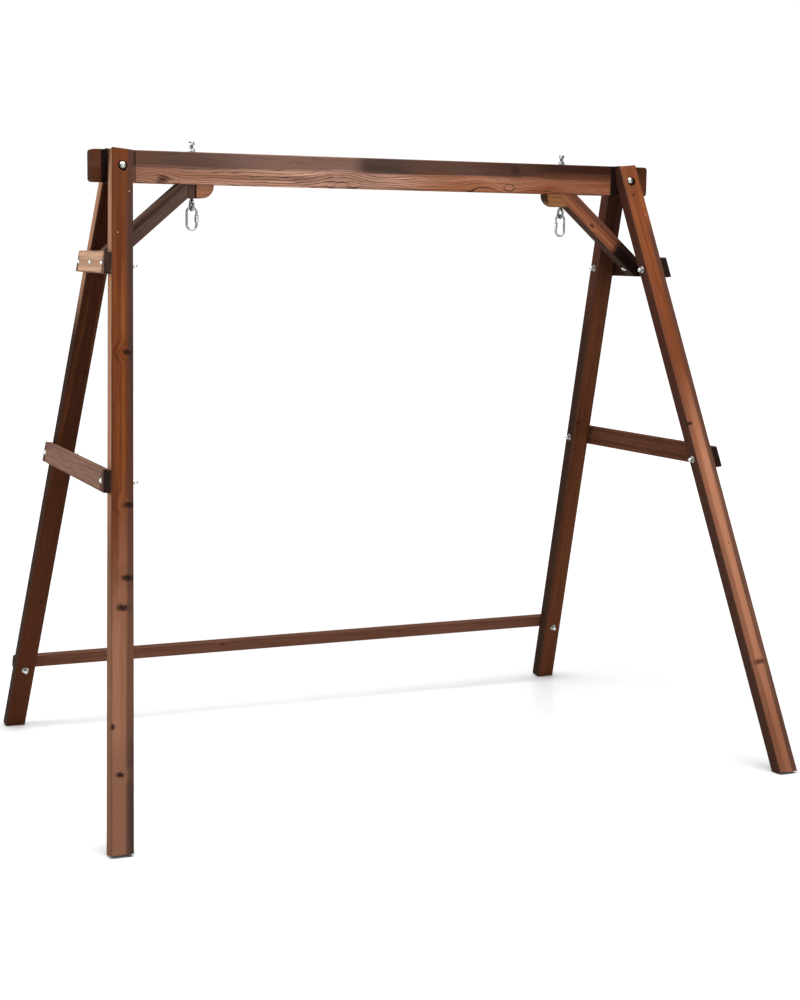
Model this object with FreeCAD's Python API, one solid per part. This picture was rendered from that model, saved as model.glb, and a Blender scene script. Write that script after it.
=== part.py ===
import FreeCAD, Part
import math
import os

# Wooden porch-swing stand: two A-frames, a top beam with two eye bolts, and a low rail behind.
# Millimetres. +X runs along the beam, +Y points to the back, +Z is up, and the origin is on
# the ground, midway between the four feet.

V = FreeCAD.Vector

# ---------------------------------------------------------------- driving dimensions
# Top beam
beam_length = 1780.0
beam_height = 90.0
beam_thickness = 45.0
beam_top = 1784.0
beam_end_radius = 10.0

# A-frames: each is flat, leans inward at the top, and is turned a little, front feet outward
frame_spacing = 1620.0        # between the two top bolts
frame_lean_deg = 5.82
frame_toe_deg = 2.1
leg_width = 61.0              # along the beam
leg_thickness = 43.0
leg_rake_deg = 20.76          # each leg against the frame's centre line
leg_face_at_bolt = 59.0       # centre line to the leg's outer face, at the top bolt
leg_top_rise = 49.0           # top end of the outer face above the top bolt
foot_lift = 8.0               # outer edge of each foot above the ground
housing_depth = 6.0           # shallow trench in the beam's face, behind each leg
housing_clearance = 15.0      # trench beside the leg, each side

# Side braces, on the outer faces of the legs
brace_height = 60.0
brace_thickness = 21.0
upper_brace_drop = 269.0      # from the top bolt, down the frame
middle_brace_drop = 839.0

# Back rail, on the rear faces of the back legs
rail_height = 40.0
rail_thickness = 20.0
rail_level = 210.0            # its middle, above the ground

# Knee: a sloping strut and a round-ended block under the beam, at each hook
hook_spacing = 1190.0
strut_angle_deg = 40.7
strut_height = 47.0
knee_thickness = 43.0
block_height = 38.0
block_round = 36.0
block_inner_reach = 59.0      # eye bolt to the block's rounded end
block_outer_reach = 17.0      # eye bolt to the block's plumb end
mitre_run = 29.0
groove_width = 23.0
groove_depth = 4.0

# Eye bolts
eye_shank = 10.0
eye_wire = 8.0
eye_ring = 36.0               # outside the ring
eye_drop = 1.0                # block's underside to the ring
eye_top_reach = 32.0          # above the beam
eye_cap_height = 12.0
eye_nut_flats = 17.0
eye_nut_height = 8.0
eye_washer_width = 22.0

# Quick links
link_wire = 7.0
link_width = 36.0
link_length = 70.0
gate_gap = 6.5
sleeve_flats = 11.0
sleeve_length = 20.0
sleeve_bore_clearance = 0.15
link_play = 0.3

# Fasteners
top_bolt_size = 10.0
top_head_width = 22.0
top_head_height = 6.0
top_recess_width = 28.0
top_recess_depth = 1.0        # where the recess is shallowest
small_bolt_size = 8.0
small_head_width = 17.0
small_head_height = 5.0
small_nut_flats = 13.0
small_nut_height = 15.0
small_washer_width = 20.0
top_nut_flats = 17.0
top_nut_height = 18.0
washer_thickness = 1.6
nut_recess_width = 18.0       # where the strut bolt leaves the sloping strut
recess_clearance = 1.0        # on the diameter of the washer in that recess
recess_bite = 0.5             # how far the recess runs past the strut's sloping edge
strut_tip_rise = 2.0          # strut's lower tip above the side brace's lower edge

# Fits and finish
seat_gap = 0.3                # between faces that bear on each other
hole_clearance = 0.5          # on the diameter of a bolt hole
thread_clearance = 0.3        # on the diameter inside a nut
edge_round = 3.5
small_edge_round = 2.5
tip_gap = 1.0                 # bolt tip to the inside of its cap nut

# ---------------------------------------------------------------- worked out
bolt_level = beam_top - beam_height / 2
beam_bottom = beam_top - beam_height
rake = math.radians(leg_rake_deg)
lean = math.radians(frame_lean_deg)
strut_angle = math.radians(strut_angle_deg)
hook_x = hook_spacing / 2
block_top = beam_bottom - seat_gap
block_bottom = block_top - block_height
knee_corner = hook_x + block_outer_reach
eye_radius = (eye_ring - eye_wire) / 2
eye_centre = block_bottom - eye_drop - eye_ring / 2
link_end_radius = (link_width - link_wire) / 2
link_half_straight = (link_length - link_width) / 2
link_top = eye_centre - eye_radius + eye_wire / 2 + link_play + link_wire / 2
link_centre = link_top - link_end_radius - link_half_straight
brace_face = leg_width / 2 + seat_gap
brace_outer = brace_face + brace_thickness

# The right A-frame's own place: its origin is the top bolt, +X points outward
frame_place = FreeCAD.Placement(
    V(frame_spacing / 2, 0, bolt_level),
    FreeCAD.Rotation(V(0, 0, 1), frame_toe_deg) * FreeCAD.Rotation(V(0, 1, 0), -frame_lean_deg),
)


# ---------------------------------------------------------------- helpers
def placed(shape, placement):
    """The shape moved by a placement, as a new shape."""
    moved = shape.copy()
    moved.Placement = placement.multiply(moved.Placement)
    return moved


def mirrored(shape):
    """The same piece on the other side of the beam's middle."""
    return shape.mirror(V(0, 0, 0), V(1, 0, 0))


def turned(shape):
    """The same piece turned half round the vertical axis."""
    return placed(shape, FreeCAD.Placement(V(0, 0, 0), FreeCAD.Rotation(V(0, 0, 1), 180)))


def centred_box(size_x, size_y, size_z, centre=V(0, 0, 0)):
    """A box about its centre."""
    corner = centre - V(size_x, size_y, size_z) * 0.5
    return Part.makeBox(size_x, size_y, size_z, corner)


def eased(shape, radius):
    """The shape with every edge rounded."""
    return shape.makeFillet(radius, shape.Edges)


def rod(diameter, start, end):
    """A round bar from start to end."""
    run = end - start
    return Part.makeCylinder(diameter / 2, run.Length, start, run)


def prism(points, depth, middle=0.0):
    """An outline in the XZ plane, given thickness along Y about the middle."""
    corners = [V(x, middle - depth / 2, z) for x, z in points]
    return Part.Face(Part.makePolygon(corners + corners[:1])).extrude(V(0, depth, 0))


def hexagon(flats, height):
    """A hexagonal bar on the XY plane, rising along Z."""
    radius = flats / math.sqrt(3)
    corners = [V(radius * math.cos(math.radians(60 * i)), radius * math.sin(math.radians(60 * i)), 0)
               for i in range(7)]
    bar = Part.Face(Part.makePolygon(corners)).extrude(V(0, 0, height))
    chamfer = Part.makeCone(radius, radius + height, height, V(0, 0, -radius * 0.06))
    return bar.common(chamfer.fuse(Part.makeCylinder(flats / 2, height)))


def along(shape, base, direction):
    """A shape drawn along +Z from the origin, stood at base along a direction."""
    return placed(shape, FreeCAD.Placement(base, FreeCAD.Rotation(V(0, 0, 1), direction)))


def dome_bolt(size, length, head_width, head_height):
    """A dome-headed bolt: the head below the XY plane, the shank along +Z."""
    rise = head_height
    radius = ((head_width / 2) ** 2 + rise ** 2) / (2 * rise)
    ball = Part.makeSphere(radius, V(0, 0, radius - rise))
    head = ball.common(centred_box(head_width * 2, head_width * 2, rise, V(0, 0, -rise / 2)))
    return head.fuse(Part.makeCylinder(size / 2, length)).removeSplitter()


def washer(size, width):
    """A flat washer rising from the XY plane."""
    ring = Part.makeCylinder(width / 2, washer_thickness)
    return ring.cut(Part.makeCylinder((size + hole_clearance) / 2, washer_thickness))


def cap_nut(size, flats, height, tip):
    """A domed nut rising from the XY plane, bored to take a tip of the given length."""
    base = height * 0.45
    crown = flats / 2 * 0.94
    wall = max(height - base - crown, 0.0)
    rise = height - base - wall
    radius = (crown ** 2 + rise ** 2) / (2 * rise)
    ball = Part.makeSphere(radius, V(0, 0, height - radius))
    dome = ball.common(Part.makeCylinder(crown * 2, rise, V(0, 0, base + wall)))
    body = hexagon(flats, base).fuse(dome)
    if wall:
        body = body.fuse(Part.makeCylinder(crown, wall, V(0, 0, base)))
    return body.cut(Part.makeCylinder((size + thread_clearance) / 2, tip + tip_gap))


def plain_nut(size, flats, height):
    """A hexagon nut rising from the XY plane."""
    return hexagon(flats, height).cut(Part.makeCylinder((size + thread_clearance) / 2, height))


def face_reach(drop):
    """Centre line to a leg's outer face, at a drop below the top bolt along the frame."""
    return leg_face_at_bolt + drop * math.tan(rake)


def leg_middle(drop):
    """Centre line to the middle of a leg's thickness."""
    return face_reach(drop) - leg_thickness / 2 / math.cos(rake)


# ---------------------------------------------------------------- beam
def beam_housing(side_x, side_y):
    """The trench cut in one face of the beam behind one leg."""
    width = leg_width + 2 * housing_clearance
    middle = V(side_x * frame_spacing / 2, side_y * beam_thickness / 2, bolt_level)
    return centred_box(width, housing_depth * 2, beam_height * 2, middle)


def top_beam():
    beam = centred_box(beam_length, beam_thickness, beam_height, V(0, 0, bolt_level))
    end_edges = [e for e in beam.Edges
                 if abs(e.Vertexes[0].Point.x - e.Vertexes[1].Point.x) < 0.1
                 and abs(e.Vertexes[0].Point.z - e.Vertexes[1].Point.z) < 0.1]
    beam = beam.makeFillet(beam_end_radius, end_edges)
    beam = eased(beam, edge_round)
    for side_x in (-1, 1):
        for side_y in (-1, 1):
            beam = beam.cut(beam_housing(side_x, side_y))
        x = side_x * frame_spacing / 2
        beam = beam.cut(rod(top_bolt_size + hole_clearance, V(x, -beam_thickness, bolt_level),
                            V(x, beam_thickness, bolt_level)))
        x = side_x * hook_x
        beam = beam.cut(rod(eye_shank + hole_clearance, V(x, 0, beam_bottom - 10), V(x, 0, beam_top + 10)))
    return beam


# ---------------------------------------------------------------- A-frame timbers
def leg_blank():
    """The right front leg before its cuts, where it stands in the flat A-frame."""
    length = (bolt_level / math.cos(lean) + leg_top_rise) / math.cos(rake) + leg_thickness
    blank = Part.makeBox(leg_width, leg_thickness, length, V(-leg_width / 2, 0, -length))
    blank = eased(blank, edge_round)
    return placed(blank, FreeCAD.Placement(V(0, -face_reach(-leg_top_rise), leg_top_rise),
                                           FreeCAD.Rotation(V(1, 0, 0), -leg_rake_deg)))


def below_foot(facing):
    """Everything under a right foot: its inner edge stands on the ground, level."""
    drop = bolt_level / math.cos(lean)
    depth = leg_thickness / math.cos(rake)
    inner = frame_place.multVec(V(0, facing * (face_reach(drop) - depth), -drop))
    face_normal = frame_place.Rotation.multVec(V(0, math.cos(rake), facing * math.sin(rake)))
    edge = face_normal.cross(V(0, 0, 1))
    tilt = facing * math.degrees(math.atan2(foot_lift, depth))
    return placed(centred_box(400, 400, 400, V(0, 0, -200)),
                  FreeCAD.Placement(V(inner.x, inner.y, 0), FreeCAD.Rotation(edge, tilt)))


def top_recess_floor():
    """Beam's middle plane to the floor of the recess for the top bolt's head or nut."""
    return leg_face_at_bolt - top_recess_width / 2 * math.tan(rake) - top_recess_depth


def leg(facing):
    """A right leg: facing is -1 in front and 1 at the back."""
    timber = leg_blank()
    if facing > 0:
        timber = timber.mirror(V(0, 0, 0), V(0, 1, 0))
    for drop in (upper_brace_drop, middle_brace_drop):
        y = facing * leg_middle(drop)
        hole = rod(small_bolt_size + hole_clearance, V(-leg_width, y, -drop), V(leg_width, y, -drop))
        timber = timber.cut(hole)
    timber = placed(timber, frame_place).cut(below_foot(facing))

    x = frame_spacing / 2
    seat = beam_thickness / 2 - housing_depth + seat_gap
    beam_space = centred_box(400, 400, beam_height * 4, V(x, facing * (seat - 200), bolt_level + beam_height))
    floor = facing * top_recess_floor()
    recess = rod(top_recess_width, V(x, floor, bolt_level), V(x, floor + facing * 60, bolt_level))
    hole = rod(top_bolt_size + hole_clearance, V(x, 0, bolt_level), V(x, facing * 200, bolt_level))
    return timber.cut(beam_space).cut(recess).cut(hole)


def back_leg():
    """The right back leg, with the shallow seat and the bolt hole for the rail."""
    head, nut_seat, axis = rail_bolt_line()
    hole = rod(small_bolt_size + hole_clearance, head - axis * 40, nut_seat + axis * 40)
    return leg(1).cut(hole).cut(rail_blank(seat_gap))


def side_brace(drop, bolt_places):
    """A plain board across the outer faces of the two legs, its ends cut to their slope."""
    top = drop - brace_height / 2
    bottom = drop + brace_height / 2
    outline = [V(0, -face_reach(top), -top), V(0, face_reach(top), -top),
               V(0, face_reach(bottom), -bottom), V(0, -face_reach(bottom), -bottom)]
    board = Part.Face(Part.makePolygon(outline + outline[:1])).extrude(V(brace_thickness, 0, 0))
    board = eased(board, small_edge_round)
    board.translate(V(brace_face, 0, 0))
    for y in bolt_places:
        hole = rod(small_bolt_size + hole_clearance, V(0, y, -drop), V(brace_outer + 50, y, -drop))
        board = board.cut(hole)
    return placed(board, frame_place)


# ---------------------------------------------------------------- back rail
def rail_frame():
    """The rail's place: its origin is the middle of its front face, +Y out of its rear face."""
    drop = (bolt_level - rail_level) / math.cos(lean)
    inner_edge = frame_place.multVec(V(-leg_width / 2, face_reach(drop), -drop))
    slope = math.degrees(math.atan(math.tan(rake) / math.cos(lean)))
    return FreeCAD.Placement(V(0, inner_edge.y + seat_gap, rail_level), FreeCAD.Rotation(V(1, 0, 0), slope))


def rail_half_length():
    """The rail ends flush with the outer sides of the back legs."""
    drop = (bolt_level - rail_level) / math.cos(lean)
    return frame_place.multVec(V(leg_width / 2, face_reach(drop), -drop)).x


def rail_blank(grown=0.0):
    """The rail's bar, or a slightly larger one to cut its seats."""
    half = rail_half_length() + grown
    bar = Part.makeBox(2 * half, rail_thickness + grown, rail_height + 2 * grown,
                       V(-half, -grown, -rail_height / 2 - grown))
    if not grown:
        bar = eased(bar, small_edge_round)
    return placed(bar, rail_frame())


def rail_bolt_line():
    """Head point, nut seat and direction (inward) of the right rail bolt, square to the leg."""
    drop = (bolt_level - rail_level) / math.cos(lean)
    outer = V(0, face_reach(drop), -drop)
    normal = V(0, -math.cos(rake), -math.sin(rake))
    axis = frame_place.Rotation.multVec(normal)
    head = frame_place.multVec(outer - normal * (rail_thickness + seat_gap))
    nut_seat = frame_place.multVec(outer + normal * leg_thickness)
    return head, nut_seat, axis


def back_rail():
    rail = rail_blank()
    head, nut_seat, axis = rail_bolt_line()
    hole = rod(small_bolt_size + hole_clearance, head - axis * 40, nut_seat + axis * 40)
    return rail.cut(hole).cut(mirrored(hole))


# ---------------------------------------------------------------- knees
def strut_outline():
    """The strut from the mitre under the beam, down past the side brace, in the XZ plane."""
    slope = math.tan(strut_angle)
    lower_run = 400.0
    upper_rise = strut_height / math.cos(strut_angle)
    upper_corner = knee_corner + (upper_rise - block_height) / slope
    return [
        (knee_corner, block_bottom),
        (knee_corner - mitre_run, block_top),
        (upper_corner, block_top),
        (knee_corner + lower_run, block_bottom + upper_rise - lower_run * slope),
        (knee_corner + lower_run, block_bottom - lower_run * slope),
    ]


def strut_blank():
    """The right strut before its lower end is trimmed: mitred in front and plumb behind."""
    strut = prism(strut_outline(), knee_thickness)
    plumb = Part.makeBox(200, knee_thickness, block_height * 3,
                         V(knee_corner + seat_gap - 200, -seat_gap / 2, block_bottom - block_height))
    return strut.cut(plumb).cut(eye_hole())


def strut_cutters():
    """What the right strut's lower end loses: all beyond or below the brace, its bolt hole and nut recess."""
    beyond = placed(Part.makeBox(600, 600, 1200, V(leg_width / 2, -300, -1000)), frame_place)
    tip_drop = upper_brace_drop + brace_height / 2 - strut_tip_rise
    below = placed(Part.makeBox(1200, 600, 600, V(-600, -300, -tip_drop - 600)), frame_place)
    start = frame_place.multVec(V(brace_face, 0, -upper_brace_drop))
    end = frame_place.multVec(V(-200, 0, -upper_brace_drop))
    recess = frame_place.multVec(V(strut_nut_seat(), 0, -upper_brace_drop))
    hole = rod(small_bolt_size + hole_clearance, start, end)
    return beyond, below, hole, rod(nut_recess_width, recess, end)


def knee_struts():
    """Both struts: the left one is the right one turned half round, each trimmed to its own brace."""
    right = strut_blank()
    left = turned(right)
    for cutter in strut_cutters():
        right = right.cut(cutter)
        left = left.cut(mirrored(cutter))
    return {"knee_strut_right": right, "knee_strut_left": left}


def strut_nut_seat():
    """Where the strut bolt's nut bears, along the frame's own X."""
    inverse = frame_place.inverse()
    slope = math.tan(strut_angle)
    level = frame_place.multVec(V(0, 0, -upper_brace_drop))
    reach = knee_corner + (block_bottom - level.z) / slope
    emerge = inverse.multVec(V(reach, 0, level.z)).x
    return emerge + nut_recess_width / 2 / slope + recess_bite


def eye_hole():
    """The hole that the right eye bolt passes through."""
    return rod(eye_shank + hole_clearance, V(hook_x, 0, block_bottom - 60), V(hook_x, 0, beam_top + 60))


def knee_block():
    """The right block: quarter-round inboard, plumb behind and mitred in front, over the eye bolt."""
    left = hook_x - block_inner_reach
    lip = block_top - block_height + block_round
    outline = [V(left, 0, block_top), V(knee_corner, 0, block_top), V(knee_corner, 0, block_bottom),
               V(left + block_round, 0, block_bottom), V(left, 0, lip)]
    arc_reach = block_round * math.cos(math.radians(45))
    round_mid = V(left + block_round - arc_reach, 0, lip - arc_reach)
    edges = [Part.makeLine(outline[0], outline[1]), Part.makeLine(outline[1], outline[2]),
             Part.makeLine(outline[2], outline[3]), Part.Arc(outline[3], round_mid, outline[4]).toShape(),
             Part.makeLine(outline[4], outline[0])]
    block = Part.Face(Part.Wire(edges)).extrude(V(0, knee_thickness, 0))
    block.translate(V(0, -knee_thickness / 2, 0))
    mitre = [(knee_corner - seat_gap, block_bottom), (knee_corner - mitre_run - seat_gap, block_top),
             (knee_corner - mitre_run - seat_gap, block_top + 50), (knee_corner + 100, block_top + 50),
             (knee_corner + 100, block_bottom - 50), (knee_corner - seat_gap, block_bottom - 50)]
    block = block.cut(prism(mitre, knee_thickness, -knee_thickness / 2 + seat_gap / 2))
    groove = Part.makeBox(groove_width, groove_depth, block_height * 3,
                          V(knee_corner - groove_width, knee_thickness / 2 - groove_depth,
                            block_bottom - block_height))
    return block.cut(groove).cut(eye_hole())


# ---------------------------------------------------------------- hooks
def eye_bolt():
    """The right eye bolt: a ring in the YZ plane and a shank up through the block and the beam."""
    ring = Part.makeTorus(eye_radius, eye_wire / 2, V(hook_x, 0, eye_centre), V(1, 0, 0))
    neck_low = eye_centre + eye_radius - eye_wire / 4
    neck = Part.makeCone(eye_wire / 2 * 0.9, eye_shank / 2, eye_wire * 0.75, V(hook_x, 0, neck_low))
    shank = rod(eye_shank, V(hook_x, 0, neck_low + eye_wire * 0.75), V(hook_x, 0, eye_tip()))
    return ring.fuse(neck).fuse(shank).removeSplitter()


def eye_tip():
    """The tip of the eye bolt's shank, inside its cap nut."""
    return beam_top + eye_top_reach - eye_cap_height * 0.45


def eye_fittings():
    """The right eye bolt's washer, nut and cap nut."""
    up = V(0, 0, 1)
    washer_base = V(hook_x, 0, beam_top + seat_gap)
    nut_base = washer_base + up * (washer_thickness + seat_gap)
    cap_base = V(hook_x, 0, beam_top + eye_top_reach - eye_cap_height)
    tip = eye_tip() - cap_base.z
    return (along(washer(eye_shank, eye_washer_width), washer_base, up),
            along(plain_nut(eye_shank, eye_nut_flats, eye_nut_height), nut_base, up),
            along(cap_nut(eye_shank, eye_nut_flats, eye_cap_height, tip), cap_base, up))


def link_side(inboard):
    """The X of the link's threaded side (-1, inboard) or its plain side (1), on the right link."""
    return hook_x + inboard * link_end_radius


def quick_link():
    """The right quick link: an oval of wire in the XZ plane, with a gap on its inboard side."""
    top_centre = V(hook_x, 0, link_centre + link_half_straight)
    low_centre = V(hook_x, 0, link_centre - link_half_straight)
    link = None
    for centre, upper in ((top_centre, True), (low_centre, False)):
        ring = Part.makeTorus(link_end_radius, link_wire / 2, centre, V(0, 1, 0))
        base = centre.z if upper else centre.z - link_width
        half = ring.common(Part.makeBox(link_width * 2, link_width, link_width,
                                        V(hook_x - link_width, -link_width / 2, base)))
        link = half if link is None else link.fuse(half)
    for inboard in (-1, 1):
        x = link_side(inboard)
        link = link.fuse(rod(link_wire, V(x, 0, low_centre.z), V(x, 0, top_centre.z)))
    gap_top = link_centre - sleeve_length / 2 + 0.5 + gate_gap
    gap = centred_box(link_wire * 2, link_wire * 2, gate_gap, V(link_side(-1), 0, gap_top - gate_gap / 2))
    return link.removeSplitter().cut(gap)


def link_sleeve():
    """The right link's hexagonal screw sleeve, closed over the gap."""
    bore = link_wire / 2 + sleeve_bore_clearance
    sleeve = hexagon(sleeve_flats, sleeve_length)
    base = V(link_side(-1), 0, link_centre - sleeve_length / 2)
    return along(sleeve.cut(Part.makeCylinder(bore, sleeve_length)), base, V(0, 0, 1))


# ---------------------------------------------------------------- fasteners
def top_fasteners():
    """The right top bolt with its washer and cap nut, along Y through both legs and the beam."""
    x = frame_spacing / 2
    floor = top_recess_floor()
    back = V(0, 1, 0)
    washer_base = V(x, floor + seat_gap, bolt_level)
    nut_base = washer_base + back * (washer_thickness + seat_gap)
    tip = top_nut_height * 0.5
    length = nut_base.y + tip + floor + seat_gap
    bolt = dome_bolt(top_bolt_size, length, top_head_width, top_head_height)
    return (along(bolt, V(x, -floor - seat_gap, bolt_level), back),
            along(washer(top_bolt_size, top_head_width), washer_base, back),
            along(cap_nut(top_bolt_size, top_nut_flats, top_nut_height, tip), nut_base, back))


def brace_fasteners(drop, y, seat_x, washer_width):
    """A bolt inward through a side brace, with a washer and cap nut bearing at seat_x."""
    inward = V(-1, 0, 0)
    head = V(brace_outer + seat_gap, y, -drop)
    washer_base = V(seat_x - seat_gap, y, -drop)
    nut_base = washer_base + inward * (washer_thickness + seat_gap)
    tip = small_nut_height * 0.5
    length = head.x - nut_base.x + tip
    bolt = dome_bolt(small_bolt_size, length, small_head_width, small_head_height)
    pieces = (along(bolt, head, inward),
              along(washer(small_bolt_size, washer_width), washer_base, inward),
              along(cap_nut(small_bolt_size, small_nut_flats, small_nut_height, tip), nut_base, inward))
    return [placed(piece, frame_place) for piece in pieces]


def rail_fasteners():
    """The right rail bolt with its washer and cap nut, square to the back leg."""
    head, nut_seat, axis = rail_bolt_line()
    washer_base = nut_seat + axis * seat_gap
    nut_base = washer_base + axis * (washer_thickness + seat_gap)
    tip = small_nut_height * 0.5
    start = head - axis * seat_gap
    length = (nut_base - start).Length + tip
    return (along(dome_bolt(small_bolt_size, length, small_head_width, small_head_height), start, axis),
            along(washer(small_bolt_size, small_washer_width), washer_base, axis),
            along(cap_nut(small_bolt_size, small_nut_flats, small_nut_height, tip), nut_base, axis))


# ---------------------------------------------------------------- assembly
def both_sides(name, right):
    """A right-hand piece and its mirror image, as two nodes."""
    return {name + "_right": right, name + "_left": mirrored(right)}


def pairs(pieces):
    """Each piece and its mirror image, in one group."""
    return Part.makeCompound([shape for piece in pieces for shape in (piece, mirrored(piece))])


def build():
    nodes = {"top_beam": top_beam(), "back_rail": back_rail()}
    nodes.update(both_sides("front_leg", leg(-1)))
    nodes.update(both_sides("back_leg", back_leg()))

    upper_bolts = [-leg_middle(upper_brace_drop), 0.0, leg_middle(upper_brace_drop)]
    middle_bolts = [-leg_middle(middle_brace_drop), leg_middle(middle_brace_drop)]
    nodes.update(both_sides("upper_brace", side_brace(upper_brace_drop, upper_bolts)))
    nodes.update(both_sides("middle_brace", side_brace(middle_brace_drop, middle_bolts)))

    nodes.update(knee_struts())
    block = knee_block()
    nodes["knee_block_right"] = block
    nodes["knee_block_left"] = turned(block)
    nodes.update(both_sides("eye_bolt", eye_bolt()))
    nodes.update(both_sides("quick_link", quick_link()))
    nodes.update(both_sides("quick_link_sleeve", link_sleeve()))

    for name, piece in zip(("eye_bolt_washers", "eye_bolt_nuts", "eye_bolt_cap_nuts"), eye_fittings()):
        nodes[name] = pairs([piece])
    for name, piece in zip(("top_bolts", "top_bolt_washers", "top_bolt_cap_nuts"), top_fasteners()):
        nodes[name] = pairs([piece])
    for name, piece in zip(("rail_bolts", "rail_washers", "rail_cap_nuts"), rail_fasteners()):
        nodes[name] = pairs([piece])

    leg_seat = -leg_width / 2
    leg_sets = [brace_fasteners(upper_brace_drop, y, leg_seat, small_washer_width) for y in upper_bolts if y]
    leg_sets += [brace_fasteners(middle_brace_drop, y, leg_seat, small_washer_width) for y in middle_bolts]
    for i, name in enumerate(("brace_bolts", "brace_washers", "brace_cap_nuts")):
        nodes[name] = pairs([fasteners[i] for fasteners in leg_sets])
    recessed_washer = nut_recess_width - recess_clearance
    strut_set = brace_fasteners(upper_brace_drop, 0.0, strut_nut_seat(), recessed_washer)
    for i, name in enumerate(("strut_bolts", "strut_washers", "strut_cap_nuts")):
        nodes[name] = pairs([strut_set[i]])
    return nodes


def main():
    os.makedirs("parts", exist_ok=True)
    for name, shape in build().items():
        shape.exportStep("parts/" + name + ".step")
        box = shape.BoundBox
        print(name, shape.isValid(), len(shape.Solids), "solids",
              [round(v, 1) for v in (box.XMin, box.XMax, box.YMin, box.YMax, box.ZMin, box.ZMax)])


main()
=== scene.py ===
# %% [markdown]
# A wooden stand for a hanging bench: two A-frames carry a top beam, a low rail
# ties the back legs, and a quick link hangs from an eye bolt at each end of
# the beam. The joinery is already drawn to size, so this lesson loads it as a
# fixed frame and gives every board and bolt its finish.
# All lengths are metres.

# %% Load the frame
import math

import bpy
import bmesh
from mathutils import Matrix, Vector


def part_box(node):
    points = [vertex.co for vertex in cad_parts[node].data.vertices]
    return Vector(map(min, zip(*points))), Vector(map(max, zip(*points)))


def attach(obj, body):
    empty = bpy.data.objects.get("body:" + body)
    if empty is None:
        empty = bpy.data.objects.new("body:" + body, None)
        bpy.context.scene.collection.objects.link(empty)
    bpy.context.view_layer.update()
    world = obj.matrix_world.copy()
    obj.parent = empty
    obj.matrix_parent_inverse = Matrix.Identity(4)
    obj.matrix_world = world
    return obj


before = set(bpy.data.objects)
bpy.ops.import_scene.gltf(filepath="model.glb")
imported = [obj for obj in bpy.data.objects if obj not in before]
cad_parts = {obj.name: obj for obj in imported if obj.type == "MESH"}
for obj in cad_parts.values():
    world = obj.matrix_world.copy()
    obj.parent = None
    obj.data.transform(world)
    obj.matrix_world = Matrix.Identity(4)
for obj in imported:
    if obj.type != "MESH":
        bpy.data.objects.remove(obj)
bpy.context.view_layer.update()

# %% [markdown]
# The camera stands at eye height, well back and to the left of the stand, and
# looks a little down. A long lens keeps the far A-frame nearly as large as the
# near one. Its axes are worked out from the three angles instead of a
# constraint, so that nothing has to be evaluated before the view is right.

# %% Camera
EYE = Vector((-2.2762, -5.1238, 1.5251))
HEADING = math.radians(24.55)      # to the right of straight ahead
DIP = math.radians(7.66)           # below the horizon
TILT = math.radians(0.75)
LENS = 67.5                        # millimetres
VIEW_END = 60

level_ahead = Vector((math.sin(HEADING), math.cos(HEADING), 0))
ahead = level_ahead * math.cos(DIP) - Vector((0, 0, math.sin(DIP)))
level_right = Vector((math.cos(HEADING), -math.sin(HEADING), 0))
level_up = level_right.cross(ahead)
picture_right = level_right * math.cos(TILT) + level_up * math.sin(TILT)
picture_up = level_up * math.cos(TILT) - level_right * math.sin(TILT)

camera = bpy.data.objects.new("studio_camera", bpy.data.cameras.new("studio_camera"))
bpy.context.scene.collection.objects.link(camera)
camera_turn = Matrix((picture_right, picture_up, -ahead)).transposed()
camera.matrix_world = Matrix.Translation(EYE) @ camera_turn.to_4x4()
camera.data.lens = LENS
camera.data.clip_end = VIEW_END
bpy.context.scene.camera = camera
print("camera at", tuple(round(v, 3) for v in EYE))

# %% [markdown]
# Every finish below is a small web of shader nodes. These helpers add a node
# and fill or link its sockets, so that a finish reads as a list of steps.

# %% Adding nodes
def add_node(tree, kind, inputs=None, **settings):
    """A new node of that kind; inputs maps socket names or numbers to a value or a socket."""
    made = tree.nodes.new(kind)
    for name, value in settings.items():
        setattr(made, name, value)
    fill(tree, made, inputs or {})
    return made


def fill(tree, node, inputs):
    """Links a socket to an input, or sets the input to a plain value."""
    for name, value in inputs.items():
        if isinstance(value, bpy.types.NodeSocket):
            tree.links.new(value, node.inputs[name])
        else:
            node.inputs[name].default_value = value


print("helpers: add_node, fill")

# %% Arithmetic, soft steps and colour mixing
def sums(tree, operation, first, second=0.0):
    """One step of arithmetic."""
    return add_node(tree, "ShaderNodeMath", {0: first, 1: second}, operation=operation).outputs[0]


def vectors(tree, operation, first, second=None):
    """One step of arithmetic on vectors: the vector that comes out."""
    inputs = {0: first} if second is None else {0: first, 1: second}
    return add_node(tree, "ShaderNodeVectorMath", inputs, operation=operation).outputs["Vector"]


def span(tree, operation, first, second=None):
    """One step on vectors that puts out a number, such as a length."""
    inputs = {0: first} if second is None else {0: first, 1: second}
    return add_node(tree, "ShaderNodeVectorMath", inputs, operation=operation).outputs["Value"]


def ramp(tree, value, low, high, start=0.0, end=1.0):
    """A soft step from start to end while value goes from low to high."""
    inputs = {"Value": value, "From Min": low, "From Max": high, "To Min": start, "To Max": end}
    return add_node(tree, "ShaderNodeMapRange", inputs, interpolation_type="SMOOTHSTEP").outputs["Result"]


def blend_colour(tree, share, first, second):
    """Two colours mixed by share."""
    return add_node(tree, "ShaderNodeMix", {0: share, 6: first, 7: second}, data_type="RGBA").outputs[2]


print("helpers: sums, vectors, span, ramp, blend_colour")

# %% [markdown]
# Wood and metal are never even, and their unevenness has a direction. This
# helper draws a noise out along some axes: fine fibre is a noise with few
# patches per metre down the grain and many across it.

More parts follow.
